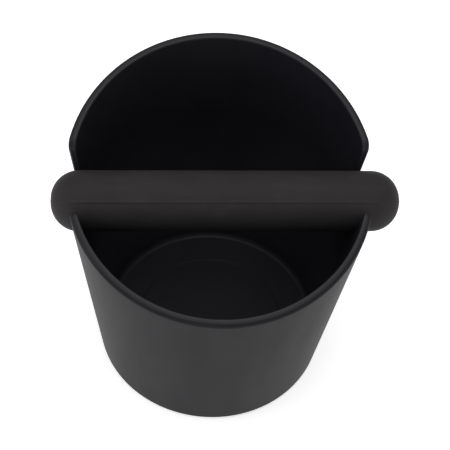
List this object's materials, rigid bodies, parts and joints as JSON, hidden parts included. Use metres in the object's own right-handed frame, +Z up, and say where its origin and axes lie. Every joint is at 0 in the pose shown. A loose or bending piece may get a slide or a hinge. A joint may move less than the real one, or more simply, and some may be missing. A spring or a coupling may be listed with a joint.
{
  "type": "espresso knock box",
  "caption": "Free-standing espresso knock box: tapered plastic bucket with a high back and low front, non-slip pad, and a lift-out rubber-covered knock bar lying across it in open notches.",
  "frame": {"origin": "middle of the flat underside of the base pad, on the surface that the box stands on", "axes": "+X along the knock bar to the right, +Y towards the high back wall, +Z up"},
  "size_m": [0.1698, 0.1494, 0.149],
  "materials": {
    "bucket_plastic": "satin black moulded plastic with a fine spark-eroded texture outside and a smoother, slightly glossier inside and rim",
    "pad_rubber": "matt black soft rubber",
    "sleeve_rubber": "matt charcoal rubber, very slightly warm, with a fine moulded parting line",
    "core_steel": "plain drawn steel tube",
    "plug_plastic": "plain moulded plastic"
  },
  "bodies": {
    "bucket_body": {"bucket": "bucket_plastic", "base_pad": "pad_rubber"},
    "bar_core": {"core_tube": "core_steel", "core_plug_left": "plug_plastic", "core_plug_right": "plug_plastic"},
    "bar_rubber": {"bar_sleeve": "sleeve_rubber"}
  },
  "joints": [
    {"name": "bar_lift", "type": "slide", "parent": "bucket_body", "child": "bar_core", "axis": [0, 0, 1], "range_m": [0, 0.06]},
    {"name": "bar_turn", "type": "hinge", "parent": "bar_core", "child": "bar_rubber", "pos_m": [0.0033, 0, 0.1092], "axis": [1, 0, 0], "continuous": true}
  ]
}
